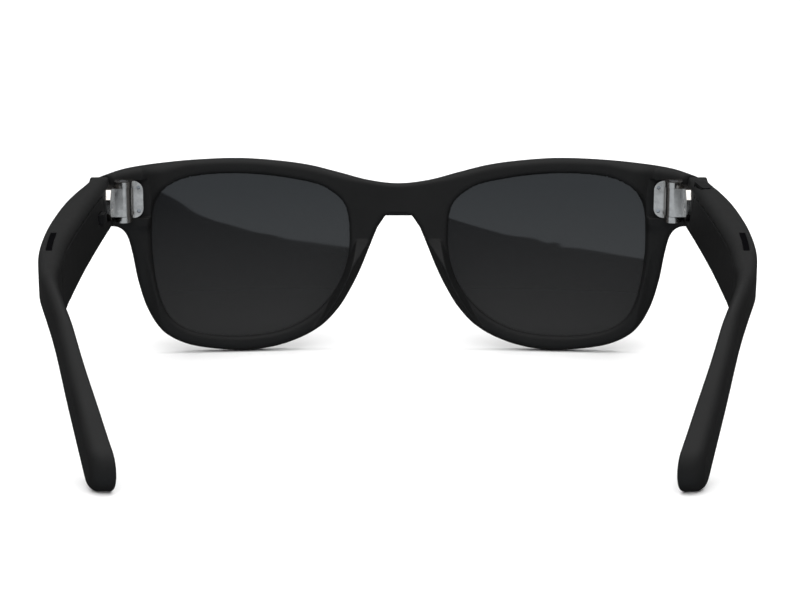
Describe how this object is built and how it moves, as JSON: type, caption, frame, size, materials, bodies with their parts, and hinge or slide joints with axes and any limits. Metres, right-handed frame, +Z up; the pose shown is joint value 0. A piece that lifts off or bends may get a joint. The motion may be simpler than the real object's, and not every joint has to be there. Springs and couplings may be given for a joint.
{
  "type": "smart glasses",
  "caption": "Horn-rimmed smart glasses with folding temples that hold a battery, a board, speakers and a capture button, and a camera and a capture light in the front's corners.",
  "frame": {"origin": "bottom centre of the open glasses' box, on the surface that the rims and the temple tips stand on", "axes": "+X to the wearer's left, +Y back from the front to the temple tips, +Z up; the lenses face -Y"},
  "size_m": [0.157, 0.16, 0.0476],
  "materials": {
    "frame_black": "satin matte, moulded",
    "lens_smoke": "grey tint, darker at the top, glossy",
    "pad_black": "satin matte, moulded",
    "bezel_black": "gloss",
    "window_glass": "clear over a dark module",
    "camera_black": "matte",
    "light_white": "diffusing",
    "flex_amber": "film",
    "can_tin": "tinned",
    "port_black": "matte",
    "contact_gold": "gold plated",
    "hinge_steel": "satin",
    "pin_steel": "machined",
    "battery_silver": "foil",
    "speaker_black": "matte",
    "mesh_black": "fine mesh",
    "slider_grey": "satin matte",
    "board_green": "solder mask",
    "button_black": "satin matte"
  },
  "bodies": {
    "front": {"front_shell": "frame_black", "rear_shell": "frame_black", "lens_left": "lens_smoke", "lens_right": "lens_smoke", "nose_pad_left": "pad_black", "nose_pad_right": "pad_black", "camera_bezel": "bezel_black", "camera_window": "window_glass", "camera_module": "camera_black", "light_bezel": "bezel_black", "light_window": "window_glass", "capture_light": "light_white", "brow_flex": "flex_amber", "bridge_microphone": "can_tin", "charge_port": "port_black", "charge_contacts": "contact_gold", "front_leaf_left": "hinge_steel", "front_leaf_right": "hinge_steel", "front_leaf_screws": "pin_steel", "hinge_pin_left": "pin_steel", "hinge_pin_right": "pin_steel"},
    "temple_left": {"temple_shell_left": "frame_black", "temple_cover_left": "frame_black", "temple_leaf_left": "hinge_steel", "leaf_screw_left": "pin_steel", "battery": "battery_silver", "speaker_left": "speaker_black", "vent_mesh_left": "mesh_black", "speaker_mesh_left": "mesh_black", "microphone_left": "can_tin", "temple_flex_left": "flex_amber", "slide_switch": "can_tin"},
    "temple_right": {"temple_shell_right": "frame_black", "temple_cover_right": "frame_black", "temple_leaf_right": "hinge_steel", "leaf_screw_right": "pin_steel", "main_board": "board_green", "processor_shield": "can_tin", "speaker_right": "speaker_black", "vent_mesh_right": "mesh_black", "speaker_mesh_right": "mesh_black", "microphone_right": "can_tin", "temple_flex_right": "flex_amber", "touch_pad": "contact_gold", "button_switch": "can_tin"},
    "power_slider": {"power_slider": "slider_grey"},
    "capture_button": {"capture_button": "button_black"}
  },
  "joints": [
    {"name": "temple_left_fold", "type": "hinge", "parent": "front", "child": "temple_left", "pos_m": [0.0665, -0.06407, 0.03817], "axis": [0, 0.0918, 0.9958], "range_deg": [0, 87]},
    {"name": "temple_right_fold", "type": "hinge", "parent": "front", "child": "temple_right", "pos_m": [-0.0665, -0.06407, 0.03817], "axis": [0, -0.0918, -0.9958], "range_deg": [0, 74]},
    {"name": "power_slider_travel", "type": "slide", "parent": "temple_left", "child": "power_slider", "axis": [0.0523, 0.9944, -0.0917], "range_m": [0, 0.0018]},
    {"name": "capture_button_press", "type": "slide", "parent": "temple_right", "child": "capture_button", "axis": [0, -0.0918, -0.9958], "range_m": [0, 0.00035], "stiffness_N_per_m": 2500}
  ]
}
